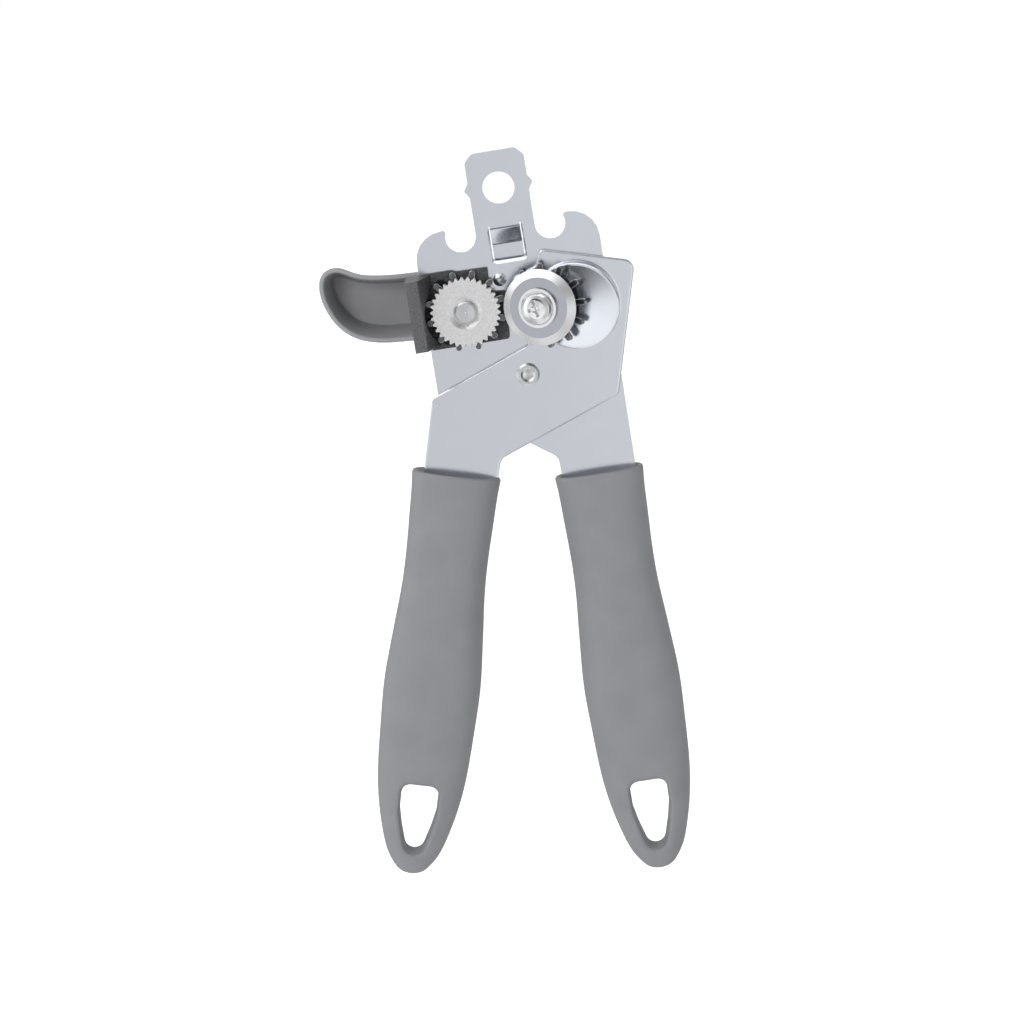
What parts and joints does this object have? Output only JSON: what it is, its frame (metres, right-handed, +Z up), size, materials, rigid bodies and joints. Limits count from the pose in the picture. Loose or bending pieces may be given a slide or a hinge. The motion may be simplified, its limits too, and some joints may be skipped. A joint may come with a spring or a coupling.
{
  "type": "manual can opener",
  "caption": "Hand-held can opener with two grey handles, a wing knob, a serrated feed wheel and a tilted cutter wheel on crossed steel levers.",
  "frame": {"origin": "centre of the hanging hole, at the middle of the rear plate's thickness", "axes": "+Z up the tool as it hangs, front faces -Y, +X to the viewer's right"},
  "size_m": [0.1066, 0.0396, 0.2106],
  "materials": {
    "lever_steel": "bright polished plate",
    "handle_plastic": "fine matte grain",
    "knob_plastic": "fine matte grain",
    "guide_plastic": "coarse black texture",
    "small_steel": "satin",
    "screw_steel": "bright plated",
    "gear_steel": "stamped, bright edges",
    "wheel_steel": "satin sintered steel",
    "cutter_steel": "ground, with a turned face",
    "bushing_brass": "turned"
  },
  "bodies": {
    "rear_arm": {"rear_plate": "lever_steel", "right_handle": "handle_plastic", "rim_guide": "guide_plastic", "guide_rivets": "small_steel", "drive_bushing": "bushing_brass", "stop_pin": "small_steel", "pivot_rivet": "small_steel", "pivot_spring_washer": "small_steel", "pivot_washer": "small_steel"},
    "front_arm": {"front_plate": "lever_steel", "left_handle": "handle_plastic", "cutter_post": "small_steel", "cutter_base_washer": "small_steel", "cutter_washer": "screw_steel", "cutter_screw": "screw_steel"},
    "drive": {"drive_shaft": "screw_steel", "drive_gear": "gear_steel", "feed_wheel": "wheel_steel", "wing_knob": "knob_plastic", "knob_washer": "small_steel"},
    "cutter": {"cutter_gear": "gear_steel", "cutter_spacer": "small_steel", "cutter_wheel": "cutter_steel"}
  },
  "joints": [
    {"name": "handle_pivot", "type": "hinge", "parent": "rear_arm", "child": "front_arm", "pos_m": [0.00839, -0.0016, -0.05294], "axis": [0, 1, 0], "range_deg": [-4, 27]},
    {"name": "knob_spin", "type": "hinge", "parent": "rear_arm", "child": "drive", "pos_m": [-0.00929, 0, -0.03468], "axis": [0, 1, 0], "continuous": true},
    {"name": "cutter_spin", "type": "hinge", "parent": "front_arm", "child": "cutter", "pos_m": [0.01443, -0.00407, -0.0326], "axis": [0.342, 0.9397, 0], "continuous": true}
  ],
  "couplings": [
    {"joint": "cutter_spin", "follows": "knob_spin", "ratio": -1}
  ]
}
